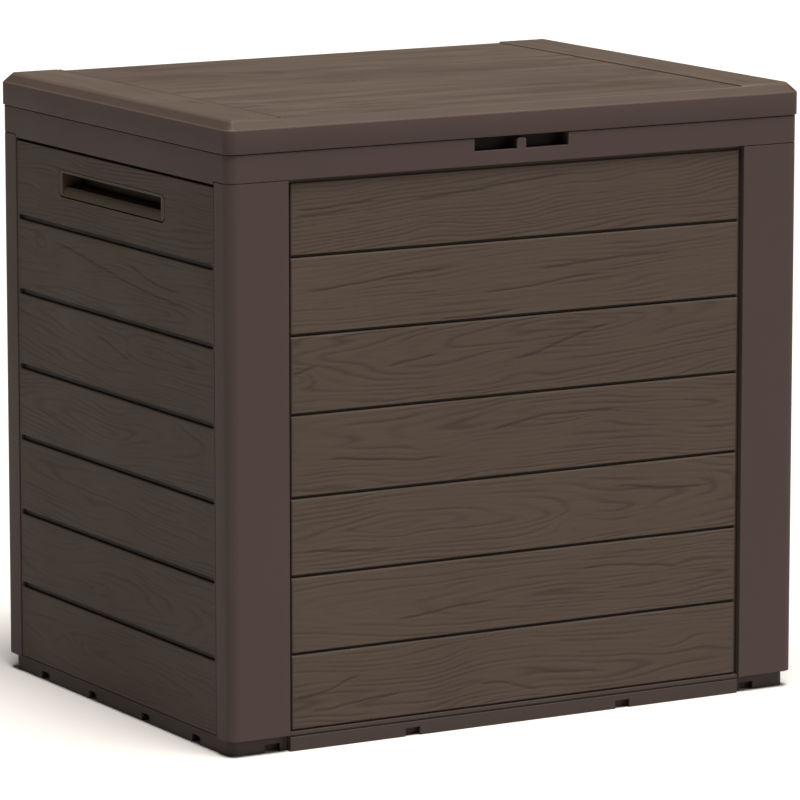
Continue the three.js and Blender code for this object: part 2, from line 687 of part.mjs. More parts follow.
place('base_tray', baseTray(), trayPlastic);
for (const [name, corner] of Object.entries(CORNERS)) {
  place(`${name}_post`, post(corner), smoothPlastic);
}
place('front_panel', plankPanel('front', FRONT_PANEL), frontPlankPlastic);
place('back_panel', plankPanel('back', FRONT_PANEL), frontPlankPlastic);
place('left_panel', sidePanel('left'), sidePlankPlastic);
place('right_panel', sidePanel('right'), sidePlankPlastic);
place('left_grip', grip(-1), smoothPlastic);
place('right_grip', grip(1), smoothPlastic);
place('top_frame', topFrame(), smoothPlastic);
place('lid_shell', lidShell(), lidPlastic);
place('left_hinge_pin', hingePin(-1), steel);
place('right_hinge_pin', hingePin(1), steel);
for (const [name, corner] of Object.entries(CORNERS)) {
  place(`${name}_base_screw`, baseScrew(corner), steel);
  place(`${name}_frame_screw`, frameScrew(corner), steel);
}

export default storageBox;
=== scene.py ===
"""Deck storage box: wood-look plank walls, smooth posts and frame, grained lid, on a pale studio floor."""
import math

import bmesh
import bpy
import numpy as np
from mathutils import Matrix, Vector


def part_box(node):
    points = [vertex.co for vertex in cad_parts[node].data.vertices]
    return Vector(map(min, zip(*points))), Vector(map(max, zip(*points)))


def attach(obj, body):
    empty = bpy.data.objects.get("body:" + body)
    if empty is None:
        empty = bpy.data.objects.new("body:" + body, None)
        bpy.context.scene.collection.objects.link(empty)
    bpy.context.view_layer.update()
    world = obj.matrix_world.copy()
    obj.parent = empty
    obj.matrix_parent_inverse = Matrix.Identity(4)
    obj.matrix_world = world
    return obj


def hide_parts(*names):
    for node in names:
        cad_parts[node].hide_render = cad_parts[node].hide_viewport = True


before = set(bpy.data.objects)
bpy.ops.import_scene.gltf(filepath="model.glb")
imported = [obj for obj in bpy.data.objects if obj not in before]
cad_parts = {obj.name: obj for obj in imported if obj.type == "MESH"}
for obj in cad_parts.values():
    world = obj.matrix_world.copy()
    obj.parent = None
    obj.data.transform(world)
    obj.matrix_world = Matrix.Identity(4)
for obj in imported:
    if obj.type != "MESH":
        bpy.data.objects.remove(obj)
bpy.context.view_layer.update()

# Sizes are in millimetres and MM turns them into Blender's metres.
MM = 0.001

# The posts' outer faces.
FACE_X = 279.0
FACE_Y = 208.0

# The fine groove along the tray's strip under the front and back planks.
STRIP_FACE_Y = 206.5
STRIP_GROOVE_Z = 12.9
STRIP_GROOVE_DEPTH = 1.3
STRIP_GROOVE_RISE = 1.7
STRIP_GROOVE_PAST_FACE = 0.6
STRIP_GROOVE_HALF_LENGTH = 223

# Heights of the grooves between the planks.
FRONT_GROOVES = [81.9, 147.2, 213.4, 282.9, 349.0, 414.4]
SIDE_GROOVES = [80.4, 145.7, 212.0, 275.2, 341.4, 406.9]


# ---- Meshes ----

def new_object(name, mesh):
    piece = bpy.data.objects.new(name, mesh)
    bpy.context.scene.collection.objects.link(piece)
    return piece


def from_bmesh(name, bm):
    """A new object with the points and faces of bm, which is freed."""
    mesh = bpy.data.meshes.new(name)
    bm.normal_update()
    bm.verts.index_update()
    points = [v.co.copy() for v in bm.verts]
    faces = [[v.index for v in f.verts] for f in bm.faces]
    mesh.from_pydata(points, [], faces)
    bm.free()
    return new_object(name, mesh)


def bake(piece):
    """Turns the piece's modifiers into its own mesh."""
    graph = bpy.context.evaluated_depsgraph_get()
    made = bpy.data.meshes.new_from_object(piece.evaluated_get(graph))
    piece.modifiers.clear()
    old = piece.data
    piece.data = made
    bpy.data.meshes.remove(old)
    return piece


def boolean(piece, other, operation):
    """Joins the piece with the other object or cuts it by it, and deletes the other."""
    cut = piece.modifiers.new("cut", "BOOLEAN")
    cut.operation = operation
    cut.solver = "MANIFOLD"
    cut.object = other
    bake(piece)
    mesh = other.data
    bpy.data.objects.remove(other)
    bpy.data.meshes.remove(mesh)
    return piece


def merged(node):
    """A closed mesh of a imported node, with its shared points joined."""
    bm = bmesh.new()
    bm.from_mesh(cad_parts[node].data)
    bmesh.ops.remove_doubles(bm, verts=bm.verts, dist=2e-6)
    bmesh.ops.recalc_face_normals(bm, faces=bm.faces)
    return bm


FLAT_ANGLE = 0.4


def soften(bm, width, segments=2, least_angle=28.0):
    """Rounds the outer edges that turn by more than least_angle degrees."""
    bmesh.ops.dissolve_limit(bm, angle_limit=math.radians(FLAT_ANGLE), verts=bm.verts, edges=bm.edges)
    bmesh.ops.triangulate(bm, faces=bm.faces)
    edges = [
        e for e in bm.edges
        if len(e.link_faces) == 2 and e.is_convex and e.calc_face_angle() > math.radians(least_angle)
    ]
    bmesh.ops.bevel(
        bm, geom=edges, offset=width * MM, offset_type="OFFSET", segments=segments, profile=0.5,
        affect="EDGES", clamp_overlap=False,
    )
    return bm


def smooth_shading(mesh, angle):
    mesh.shade_smooth()
    mesh.set_sharp_from_angle(angle=math.radians(angle))


def shade(piece, angle=38.0):
    smooth_shading(piece.data, angle)
    weighted = piece.modifiers.new("weighted", "WEIGHTED_NORMAL")
    weighted.keep_sharp = True
    weighted.weight = 60
    return piece


def block(name, low, high):
    """A box between two opposite corners."""
    bm = bmesh.new()
    bmesh.ops.create_cube(bm, size=1.0)
    low, high = Vector(low), Vector(high)
    for v in bm.verts:
        v.co = Vector([(low[i] + high[i]) / 2 + v.co[i] * (high[i] - low[i]) for i in range(3)]) * MM
    return from_bmesh(name, bm)


def outfit(piece, body, slot, look, *nodes):
    """Gives a piece its material and its body, and hides the nodes that it stands for."""
    piece.data.materials.clear()
    piece.data.materials.append(look)
    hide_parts(*nodes)
    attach(piece, body)
    return piece


def strip_groove(name, side):
    """A V-shaped cutter along the tray's strip under the front (side -1) or back (side 1) planks."""
    outside = side * (STRIP_FACE_Y + STRIP_GROOVE_PAST_FACE)
    tip = side * (STRIP_FACE_Y - STRIP_GROOVE_DEPTH)
    section = [
        (outside, STRIP_GROOVE_Z - STRIP_GROOVE_RISE),
        (outside, STRIP_GROOVE_Z + STRIP_GROOVE_RISE),
        (tip, STRIP_GROOVE_Z),
    ]
    bm = bmesh.new()
    ends = [
        [bm.verts.new((x * MM, y * MM, z * MM)) for y, z in section]
        for x in (-STRIP_GROOVE_HALF_LENGTH, STRIP_GROOVE_HALF_LENGTH)
    ]
    for k in range(len(section)):
        after = (k + 1) % len(section)
        bm.faces.new([ends[0][k], ends[0][after], ends[1][after], ends[1][k]])
    bm.faces.new(ends[0])
    bm.faces.new(ends[1])
    bmesh.ops.recalc_face_normals(bm, faces=bm.faces)
    return from_bmesh(name, bm)


# ---- Seeded noise and wood relief ----

def noise(x, y, seed):
    """Smooth noise from -1 to 1 that repeats every 64 cells."""
    table = np.random.RandomState(seed).uniform(-1, 1, (64, 64))
    i, j = np.floor(x).astype(int), np.floor(y).astype(int)
    fx, fy = x - i, y - j
    fx = fx * fx * fx * (fx * (fx * 6 - 15) + 10)
    fy = fy * fy * fy * (fy * (fy * 6 - 15) + 10)
    low = table[i & 63, j & 63] * (1 - fx) + table[(i + 1) & 63, j & 63] * fx
    high = table[i & 63, (j + 1) & 63] * (1 - fx) + table[(i + 1) & 63, (j + 1) & 63] * fx
    return low * (1 - fy) + high * fy


def smooth(low, high, value):
    """A soft step from 0 at low to 1 at high, which may lie below low."""
    t = np.clip((value - low) / (high - low), 0, 1)
    return t * t * (3 - 2 * t)


def wood(u, v, seed, pitch=3.4, tilt=0.0, arch=0.0, heart=(0.0, 0.0), knots=(), calm=0.0, cracks=()):
    """Depth of one board's relief, from 0 on a ridge to 1 in a line and a little more in a crack.

    u runs along the grain and v across it. Each knot has a place, a reach both ways and a lift of the rings
    around it. Each crack has a start and an end along u, the v of both, and a bow.
    """
    warp = 5.0 * noise(u / 110, v / 46, seed) + 1.8 * noise(u / 42, v / 15, seed + 1)
    across = v - heart[1] + tilt * u + warp
    ring = np.sqrt(across ** 2 + (arch * (u - heart[0])) ** 2 + 0.5)
    for knot_u, knot_v, reach_u, reach_v, lift in knots:
        spread = ((u - knot_u) / reach_u) ** 2 + ((v - knot_v) / reach_v) ** 2
        ring = ring + lift * np.exp(-spread)
    phase = ring / pitch + 0.55 * noise(u / 85, v / 9, seed + 2)
    cell = np.floor(phase)
    off = np.abs(phase - cell - 0.5)
    line = np.exp(-((off / 0.17) ** 2))
    each = noise(cell * 1.7 + 0.3, u / 55 + cell * 0.61, seed + 3)
    strength = smooth(-0.55 + calm, 0.55 + calm, each + 0.5 * noise(u / 60, v / 12, seed + 4))
    fibre = 0.5 + 0.5 * noise(u / 17, v / 1.05, seed + 5)
    relief = 0.80 * line * (0.22 + 0.78 * strength) + 0.20 * fibre
    for start, end, low, high, bow in cracks:
        t = np.clip((u - start) / (end - start), 0, 1)
        middle = low + (high - low) * t * t * (3 - 2 * t) + bow * np.sin(math.pi * t)
        middle = middle + 0.7 * noise(u / 14, u * 0 + seed, seed + 6)
        taper = smooth(0.0, 0.12, t) * smooth(1.0, 0.80, t)
        relief = relief + 1.15 * taper * np.exp(-(((v - middle) / (0.55 + 0.35 * taper)) ** 2))
    return np.clip(relief, 0, 1.6)


# Boards from the bottom up: how each one's lines run.
FRONT_BOARDS = [
    dict(seed=11, pitch=3.9, tilt=-0.02, arch=0.05, heart=(-60, 20), knots=[(150, 34, 26, 9, 9)],
         cracks=[(-217, -150, 27, 40, -3), (-205, -110, 13, 20, 0), (-40, 25, 18, 6, 4),
                 (20, 90, 22, 17, 0)]),
    dict(seed=23, pitch=3.5, tilt=0.03, arch=0.07, heart=(110, 30), calm=0.05,
         cracks=[(-120, -20, 18, 25, 2), (60, 170, 44, 36, 2)]),
    dict(seed=37, pitch=3.7, tilt=-0.01, arch=0.09, heart=(-120, 34), knots=[(60, 22, 22, 8, 8)],
         cracks=[(-210, -120, 20, 14, 0), (90, 200, 48, 40, -3)]),
    dict(seed=41, pitch=3.6, tilt=0.02, arch=0.06, heart=(80, 48), knots=[(84, 40, 40, 10, 9)],
         cracks=[(-30, 110, 40, 44, 7), (-190, -60, 30, 22, -2)]),
    dict(seed=59, pitch=3.8, tilt=-0.05, arch=0.10, heart=(30, 52), knots=[(-216, 30, 18, 7, 9)], calm=0.1,
         cracks=[(-10, 95, 30, 52, 0), (-130, -75, 34, 40, 0), (-219, -195, 33, 38, 0)]),
    dict(seed=61, pitch=3.9, tilt=-0.04, arch=0.02, heart=(-150, -10), calm=0.25,
         cracks=[(-40, 90, 22, 30, 0), (10, 165, 38, 43, 1), (-215, -50, 36, 46, 0), (-80, 0, 2, 5, 0)]),
    dict(seed=73, pitch=3.6, tilt=-0.06, arch=0.0, heart=(0, -30), calm=-0.3,
         cracks=[(-217, -130, 38, 41, 0), (-217, -160, 33, 35, 0), (-110, 60, 40, 52, 0)]),
]
SIDE_BOARDS = [
    dict(seed=101, pitch=3.8, tilt=0.02, arch=0.07, heart=(40, 30), knots=[(-90, 28, 24, 9, 9)]),
    dict(seed=113, pitch=3.6, tilt=-0.03, arch=0.08, heart=(-70, 24)),
    dict(seed=127, pitch=3.7, tilt=0.02, arch=0.06, heart=(90, 42), knots=[(20, 20, 26, 9, 8)]),
    dict(seed=131, pitch=3.9, tilt=-0.02, arch=0.09, heart=(-30, 36), calm=0.1,
         cracks=[(-150, -60, 30, 22, 0)]),
    dict(seed=149, pitch=3.6, tilt=0.03, arch=0.07, heart=(50, 50), knots=[(30, 44, 20, 8, 9)],
         cracks=[(-30, 40, 48, 34, 0)]),
    dict(seed=151, pitch=3.8, tilt=-0.04, arch=0.05, heart=(-40, 10), knots=[(-130, 44, 22, 11, 12)],
         cracks=[(-115, 165, 52, 28, -5), (30, 130, 50, 40, -6)]),
    dict(seed=163, pitch=3.3, tilt=-0.02, arch=0.03, heart=(60, -12), knots=[(-120, 26, 24, 10, 8)],
         calm=-0.15),
]


def samples(start, end, step, marks, near, fine):
    """Positions from start to end, close together around the marks."""
    out = [start]
    while out[-1] < end - 1e-6:
        here = out[-1]
        gap = min([abs(here - m) for m in marks] + [abs(here + fine - m) for m in marks])
        out.append(min(end, here + (fine if gap < near else step)))
    if out[-1] - out[-2] < fine * 0.4:
        del out[-2]
    return np.array(out)


def closed_relief(name, along, up, inward, back, place):
    """A closed slab whose front is a grid of depths. place turns (along, up, inward) arrays into points."""
    rows, cols = inward.shape
    grid_a, grid_u = np.meshgrid(along, up)
    front = place(grid_a.ravel(), grid_u.ravel(), inward.ravel())
    index = np.arange(rows * cols).reshape(rows, cols)
    rim = list(index[0, :]) + list(index[1:, -1]) + list(index[-1, -2::-1]) + list(index[-2:0:-1, 0])
    rear = place(grid_a.ravel()[rim], grid_u.ravel()[rim], np.full(len(rim), back))
    quads = np.stack([index[:-1, :-1], index[:-1, 1:], index[1:, 1:], index[1:, :-1]], -1)
    faces = quads.reshape(-1, 4).tolist()
    first = rows * cols
    count = len(rim)
    for k in range(count):
        after = (k + 1) % count
        faces.append([int(rim[after]), int(rim[k]), first + k, first + after])
    faces.append([first + k for k in reversed(range(count))])
    mesh = bpy.data.meshes.new(name)
    mesh.from_pydata((np.concatenate([front, rear]) * MM).tolist(), [], faces)
    bm = bmesh.new()
    bm.from_mesh(mesh)
    if bm.calc_volume(signed=True) < 0:
        bmesh.ops.reverse_faces(bm, faces=bm.faces)
    bm.to_mesh(mesh)
    bm.free()
    return new_object(name, mesh)


# ---- Plank panels ----

GRAIN_DEPTH = 0.34
FACE_CLEARANCE = 0.02
TOP_EDGE_ROUND = 2.2
LOW_EDGE_ROUND = 0.7
FIELD_EDGE_ROUND = 1.2
ROUND_DEPTH_SHARE = 0.62
PANEL_INSET = 0.04
SLAB_OVERLAP = 0.15

# The relief's grid: its step, and the finer step within reach of a groove or an edge.
ALONG_STEP = 2.9
ALONG_FINE = 0.7
ALONG_REACH = 3.5
UP_STEP = 0.95
UP_FINE = 0.42
UP_REACH = 4.6

# The block that takes off an imported panel's skin: its half length, its ends up the wall and its start
# outside.
WASTE_HALF_LENGTH = 300.0
WASTE_UP = (-10.0, 600.0)
WASTE_OUT = 20.0

# Each wall turns (along, up, inward) into a point. Inward is counted from the posts' outer faces.
WALLS = {
    "front": lambda a, u, i: np.stack([a, -FACE_Y + i, u], -1),
    "back": lambda a, u, i: np.stack([-a, FACE_Y - i, u], -1),
    "left": lambda a, u, i: np.stack([-FACE_X + i, -a, u], -1),
    "right": lambda a, u, i: np.stack([FACE_X - i, a, u], -1),
}

# x and z are the field's ends along the wall and up it. The depths face (the planks), floor (the grooves)
# and cut (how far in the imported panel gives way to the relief) are counted inward. groove is a groove's
# height, margin how far short of the field's ends it stops, and shift is added to the boards' seeds.
FRONT_FIELD = dict(x=(-219.0, 219.0), z=(18.0, 475.0), face=3.0, cut=6.4, grooves=FRONT_GROOVES,
                   groove=2.3, floor=6.1, margin=-2.0, boards=FRONT_BOARDS)
SIDE_FIELD = dict(z=(15.5, 473.6), face=0.6, cut=3.9, grooves=SIDE_GROOVES,
                  groove=4.6, floor=3.65, margin=3.0, boards=SIDE_BOARDS)
PANELS = {
    "front": dict(FRONT_FIELD, node="front_panel", shift=0),
    "back": dict(FRONT_FIELD, node="back_panel", shift=500),
    "left": dict(SIDE_FIELD, node="left_panel", x=(-178.7, 182.6), shift=0),
    "right": dict(SIDE_FIELD, node="right_panel", x=(-182.6, 178.7), shift=700),
}


def panel_depths(spec, a, u):
    """Inward depth, line strength, board tint and share of groove, where shade is painted, at positions on a
    panel's face.
    """
    edges = [spec["z"][0]] + list(spec["grooves"]) + [spec["z"][1]]
    lines = np.zeros_like(a)
    tint = np.zeros_like(a)
    for k, board in enumerate(spec["boards"]):
        inside = (u >= edges[k]) & (u <= edges[k + 1])
        if not inside.any():
            continue
        look = dict(board)
        look["seed"] += spec["shift"]
        if spec["shift"]:
            flip = np.random.RandomState(look["seed"]).choice([-1, 1])
        else:
            flip = 1
        lines[inside] = wood(flip * a[inside], u[inside] - edges[k], **look)
        tint[inside] = np.random.RandomState(look["seed"] + 9).uniform(-1, 1)
    # The distance to the nearest groove, which is below 0 inside it. The grooves have round ends.
    to_groove = np.full_like(a, 1e3)
    above = np.zeros_like(a, dtype=bool)
    for g in spec["grooves"]:
        gap = np.abs(u - g) - spec["groove"] / 2
        above = np.where(gap < to_groove, u > g, above)
        to_groove = np.minimum(to_groove, gap)
    ends = np.minimum(a - spec["x"][0], spec["x"][1] - a) - spec["margin"]
    half = spec["groove"] / 2
    cap = np.where(ends < half, np.hypot(np.maximum(half - ends, 0), to_groove + half) - half, to_groove)
    to_groove = np.where(ends < half, np.maximum(cap, to_groove), to_groove)
    rim = np.minimum(
        np.minimum(a - spec["x"][0], spec["x"][1] - a),
        np.minimum(u - spec["z"][0], spec["z"][1] - u),
    )
    depth = spec["face"] + FACE_CLEARANCE + GRAIN_DEPTH * lines * smooth(0.3, 2.5, np.minimum(to_groove, rim))
    plank_round = np.where(above, LOW_EDGE_ROUND, TOP_EDGE_ROUND)
    for gap, size in ((to_groove, plank_round), (rim, FIELD_EDGE_ROUND)):
        t = np.clip(1 - gap / size, 0, 1)
        depth = depth + size * ROUND_DEPTH_SHARE * (1 - np.sqrt(1 - np.minimum(t, 0.995) ** 2))
    sunk_and_painted_shade = smooth(0.15, -0.5, to_groove)
    depth = depth * (1 - sunk_and_painted_shade) + spec["floor"] * sunk_and_painted_shade
    # The last value is the share of groove, which the colour darkens as painted shade.
    return np.minimum(depth, spec["floor"]), lines, tint, smooth(0.3, -0.3, to_groove)


# The grip's outline in the side walls, the joint around it, and how far the hole reaches through the wall.
GRIP_HALF_LENGTH = 96.5
GRIP_LOW = 434.2
GRIP_HIGH = 456.8
GRIP_CENTRE_Y = 1.2
GRIP_CORNER = 5.0
GRIP_JOINT_ENDS = 0.7
GRIP_JOINT_BELOW = 1.2
GRIP_JOINT_ABOVE = 0.3
GRIP_JOINT_SHIFT = 0.4
GRIP_HOLE_OUT = 5
GRIP_HOLE_IN = 12
GRIP_ARC_STEPS = 6


def grip_hole(name, side):
    """The hole for a grip, with a wider joint below it and at its front end."""
    half_length = GRIP_HALF_LENGTH + GRIP_JOINT_ENDS
    low = GRIP_LOW - GRIP_JOINT_BELOW
    high = GRIP_HIGH + GRIP_JOINT_ABOVE
    centre = GRIP_CENTRE_Y - GRIP_JOINT_SHIFT
    corner = GRIP_CORNER
    bm = bmesh.new()
    ring = []
    for cx, cz, start in ((1, 1, 0), (-1, 1, 90), (-1, -1, 180), (1, -1, 270)):
        for step in range(GRIP_ARC_STEPS + 1):
            angle = math.radians(start + 90 * step / GRIP_ARC_STEPS)
            y = centre + cx * (half_length - corner) + corner * math.cos(angle)
            z = (high - corner if cz > 0 else low + corner) + corner * math.sin(angle)
            ring.append((y, z))
    near = [bm.verts.new((side * (FACE_X + GRIP_HOLE_OUT) * MM, y * MM, z * MM)) for y, z in ring]
    far = [bm.verts.new((side * (FACE_X - GRIP_HOLE_IN) * MM, y * MM, z * MM)) for y, z in ring]
    for k in range(len(ring)):
        after = (k + 1) % len(ring)
        bm.faces.new([near[k], near[after], far[after], far[k]])
    bm.faces.new(near)
    bm.faces.new(list(reversed(far)))
    bmesh.ops.recalc_face_normals(bm, faces=bm.faces)
    return from_bmesh(name, bm)


def plank_panel(wall):
    """An imported panel whose outer skin is swapped for a grained relief with rounded planks."""
    spec = PANELS[wall]
    place = WALLS[wall]
    node = spec["node"]
    marks_up = list(spec["grooves"]) + list(spec["z"])
    along = samples(*spec["x"], ALONG_STEP, spec["x"], near=ALONG_REACH, fine=ALONG_FINE)
    up = samples(*spec["z"], UP_STEP, marks_up, near=UP_REACH, fine=UP_FINE)
    grid_a, grid_u = np.meshgrid(along, up)
    depth = panel_depths(spec, grid_a, grid_u)[0]
    along = np.clip(along, spec["x"][0] + PANEL_INSET, spec["x"][1] - PANEL_INSET)
    up = np.clip(up, spec["z"][0] + PANEL_INSET, spec["z"][1] - PANEL_INSET)
    slab = closed_relief(node + "_relief", along, up, depth, spec["cut"] + SLAB_OVERLAP, place)
    if wall in ("left", "right"):
        boolean(slab, grip_hole(node + "_hole", -1 if wall == "left" else 1), "DIFFERENCE")
    rest = from_bmesh(node + "_planks", merged(node))
    corners = place(
        np.array([-WASTE_HALF_LENGTH, WASTE_HALF_LENGTH]), np.array(WASTE_UP),
        np.array([-WASTE_OUT, spec["cut"]]),
    )
    waste = block(node + "_waste", corners.min(0), corners.max(0))
    boolean(rest, waste, "DIFFERENCE")
    boolean(rest, slab, "UNION")
    mark(rest, spec, wall)
    smooth_shading(rest.data, 48)
    return rest


def write_attribute(mesh, name, values):
    layer = mesh.attributes.new(name, "FLOAT", "POINT")
    layer.data.foreach_set("value", np.asarray(values, dtype=np.float32))


def points_of(mesh):
    flat = np.empty(len(mesh.vertices) * 3)
    mesh.vertices.foreach_get("co", flat)
    return flat.reshape(-1, 3) / MM


def mark(piece, spec, wall):
    """Writes the lines and board tints that the wood-look colour follows, and the grooves, where it paints
    shade.
    """
    p = points_of(piece.data)
    if wall in ("front", "back"):
        a = p[:, 0] if wall == "front" else -p[:, 0]
        inward = FACE_Y - np.abs(p[:, 1])
    else:
        a = -p[:, 1] if wall == "left" else p[:, 1]
        inward = FACE_X - np.abs(p[:, 0])
    _, lines, tint, sunk_and_painted_shade = panel_depths(spec, a, p[:, 2])
    facing = inward < spec["cut"] - 0.1
    write_attribute(piece.data, "grain", np.where(facing, lines, 0.2))
    write_attribute(piece.data, "board", np.where(facing, tint, 0.0))
    # Painted shade: the colour darkens in the grooves.
    write_attribute(piece.data, "groove", np.where(facing, sunk_and_painted_shade, 0.0))


# ---- Lid ----

LID_TOP = 530.0
FIELD_HALF = 224.0
FIELD_STEP = 1.4
LID_JOINT = 226.4
LID_HALF_WIDTH = 280.0
LID_CHAMFER = 9.5
LID_RIM_SEAM = 521.6
LID_GRAIN_DEPTH = 0.26
LID_TOP_CLEARANCE = 0.05
LID_JOINT_DEPTH = 0.7
LID_JOINT_REACH = 1.1
# The painted highlight beside the right step: how far past the step it runs and how wide it reaches.
PAINTED_HIGHLIGHT_OFFSET = 1.4
PAINTED_HIGHLIGHT_REACH = 1.2
BAND_STEP_REACH = 1.6
CHAMFER_RINGS = (LID_RIM_SEAM + 0.6, LID_RIM_SEAM + 1.2, LID_TOP - 2.4, LID_TOP - 1.8)
CHAMFER_SHADE_ENDS = 0.60
CHAMFER_SHADE_LONG = 0.33

# The grid of the lid's top, which reaches past its edges and is finest at the steps beside the field.
LID_GRID_X = 300
LID_GRID_Y = 225
LID_GRID_BACK = 450.0
LID_STEP_X = 3.4
LID_FINE_X = 1.05
LID_REACH_X = 46.5
LID_FINEST_X = 0.45
LID_STEP_Y = 1.38


def lid_joint(x):
    """Depth of the fine joint line beside the left step."""
    return np.where(x < 0, LID_JOINT_DEPTH, 0.0) * np.exp(-((np.abs(x) - LID_JOINT) / LID_JOINT_REACH) ** 2)


def lid_heights(x, y):
    """(height of the lid's top, line strength) over arrays of x and y."""
    field = wood(x, y, 211, pitch=5.2, tilt=0.012, arch=0.03, heart=(-40, 15), knots=[(90, -60, 60, 16, 12)])
    left = wood(y, x + 247, 223, pitch=4.2, tilt=0.02, arch=0.05, heart=(60, 6))
    right = wood(y, x - 247, 227, pitch=4.2, tilt=-0.02, arch=0.05, heart=(-50, -4),
                 knots=[(-30, 4, 40, 10, 9)])
    band = smooth(FIELD_HALF - BAND_STEP_REACH, FIELD_HALF + BAND_STEP_REACH, np.abs(x))
    lines = np.where(np.abs(x) > FIELD_HALF, np.where(x < 0, left, right), field)
    calm = smooth(0.2, 2.2, np.abs(np.abs(x) - FIELD_HALF))
    height = LID_TOP - LID_TOP_CLEARANCE - FIELD_STEP * (1 - band) - LID_GRAIN_DEPTH * lines * calm
    return height - lid_joint(x), lines


def lid_streaks(x, y):
    """Light and dark streaks along the grain: across the lid in its middle, front to back on its bands, with
    a painted highlight line beside the right step.
    """
    y_bent = y + 6 * noise(x / 90, y / 60, 245)
    field = 0.7 * noise(x / 150, y_bent / 16, 241) - 1.1 * smooth(0.05, 0.6, noise(x / 55, y_bent / 9, 242))
    field = field + 0.5 * noise(x / 40, y_bent / 7, 246) + 0.2
    bands = 0.25 * noise(y / 150, x / 7.5, 243) + 0.2 * noise(y / 70, x / 2.6, 244)
    # A painted highlight line along the right band's edge beside the step.
    bands = bands + np.exp(-((x - FIELD_HALF - PAINTED_HIGHLIGHT_OFFSET) / PAINTED_HIGHLIGHT_REACH) ** 2)
    return np.where(np.abs(x) < FIELD_HALF, field, bands)


def lid():
    """The lid with its edges softened and its top cut down to the grained field and bands."""
    bm = soften(merged("lid_shell"), 0.9, segments=3)
    for height in CHAMFER_RINGS:
        geometry = list(bm.verts) + list(bm.edges) + list(bm.faces)
        bmesh.ops.bisect_plane(bm, geom=geometry, plane_co=(0, 0, height * MM), plane_no=(0, 0, 1))
    shell = from_bmesh("lid_cover", bm)
    steps = [-FIELD_HALF, FIELD_HALF]
    x = samples(-LID_GRID_X, LID_GRID_X, LID_STEP_X, steps, near=LID_REACH_X, fine=LID_FINE_X)
    left_step = np.arange(-227, -221, LID_FINEST_X)
    right_step = np.arange(221.1, 227.1, LID_FINEST_X)
    x = np.unique(np.concatenate([x, left_step, right_step]))
    y = np.arange(-LID_GRID_Y, LID_GRID_Y + 0.1, LID_STEP_Y)
    gx, gy = np.meshgrid(x, y)
    height, _ = lid_heights(gx, gy)
    place = lambda a, u, i: np.stack([a, u, i], -1)
    bulk = closed_relief("lid_bulk", x, y, height, LID_GRID_BACK, place)
    boolean(shell, bulk, "INTERSECT")
    mark_lid(shell.data)
    smooth_shading(shell.data, 36)
    return shell


def mark_lid(mesh):
    """Writes the lines, streaks with a painted highlight line, painted shade on the chamfer and along the
    left joint, and smooth rim that the lid's colour follows.
    """
    p = points_of(mesh)
    x, y, z = p[:, 0], p[:, 1], p[:, 2]
    _, lines = lid_heights(x, y)
    top = z > LID_TOP - FIELD_STEP - 0.9
    write_attribute(mesh, "grain", np.where(top, lines, 0.1))
    # On the top, "board" holds the streaks and the painted highlight line.
    write_attribute(mesh, "board", np.where(top, lid_streaks(x, y), 0.0))
    end = np.abs(x) > LID_HALF_WIDTH - LID_CHAMFER + 0.3
    chamfer = smooth(LID_TOP - 1.7, LID_TOP - 2.3, z) * smooth(LID_RIM_SEAM + 0.5, LID_RIM_SEAM + 1.1, z)
    shaded = np.where(end, CHAMFER_SHADE_ENDS, CHAMFER_SHADE_LONG) * chamfer
    # Painted shade: a dark line along the left joint, and darker chamfers, most of all at the ends.
    write_attribute(mesh, "groove", np.maximum(lid_joint(x), shaded))
    write_attribute(mesh, "rim", smooth(LID_RIM_SEAM + 0.4, LID_RIM_SEAM - 0.4, z))


# ---- Materials ----

def material(name):
    made = bpy.data.materials.new(name)
    made.use_nodes = True
    made.node_tree.nodes.clear()
    return made


def link(tree, source, target):
    tree.links.new(source, target)


def attribute(tree, name):
    node = tree.nodes.new("ShaderNodeAttribute")
    node.attribute_name = name
    return node.outputs["Fac"]


def noise_node(tree, coords, stretch, detail, rough=0.55):
    mapping = tree.nodes.new("ShaderNodeMapping")
    mapping.inputs["Scale"].default_value = stretch
    link(tree, coords, mapping.inputs["Vector"])
    texture = tree.nodes.new("ShaderNodeTexNoise")
    texture.inputs["Scale"].default_value = 1.0
    texture.inputs["Detail"].default_value = detail
    texture.inputs["Roughness"].default_value = rough
    link(tree, mapping.outputs["Vector"], texture.inputs["Vector"])
    return texture.outputs["Fac"]


def ranged(tree, value, low, high, from_low=0.25, from_high=0.75):
    """Value moved from its own range to the range low to high."""
    node = tree.nodes.new("ShaderNodeMapRange")
    node.inputs["From Min"].default_value = from_low
    node.inputs["From Max"].default_value = from_high
    node.inputs["To Min"].default_value = low
    node.inputs["To Max"].default_value = high
    link(tree, value, node.inputs["Value"])
    return node.outputs["Result"]


def product(tree, *values):
    out = values[0]
    for value in values[1:]:
        node = tree.nodes.new("ShaderNodeMath")
        node.operation = "MULTIPLY"
        link(tree, out, node.inputs[0])
        link(tree, value, node.inputs[1])
        out = node.outputs["Value"]
    return out


def tinted(tree, colour, amount):
    """The colour times a number from the node tree."""
    node = tree.nodes.new("ShaderNodeVectorMath")
    node.operation = "SCALE"
    node.inputs[0].default_value = colour
    link(tree, amount, node.inputs["Scale"])
    return node.outputs["Vector"]


PLASTIC_SPECULAR = 0.08
PLASTIC_ROUGHNESS = (0.46, 0.60)


